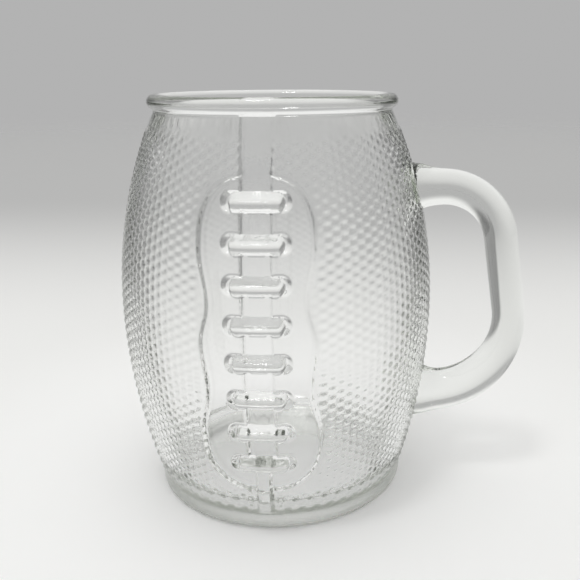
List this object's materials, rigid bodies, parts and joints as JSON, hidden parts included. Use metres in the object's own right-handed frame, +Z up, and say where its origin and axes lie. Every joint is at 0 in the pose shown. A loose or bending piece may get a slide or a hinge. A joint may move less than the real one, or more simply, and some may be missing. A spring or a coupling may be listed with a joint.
{
  "type": "glass beer mug",
  "caption": "Clear glass beer mug with a barrel body shaped like a laced leather ball, a rolled rim and a solid side handle.",
  "frame": {"origin": "centre of the underside, in the plane that the mug stands on", "axes": "+Z up along the mug's axis, -Y out through the laced panel, +X out through the handle"},
  "size_m": [0.1446, 0.1111, 0.14],
  "materials": {
    "glass": "clear, fire polished"
  },
  "bodies": {
    "root": {"mug_body": "glass", "handle": "glass"}
  },
  "joints": []
}
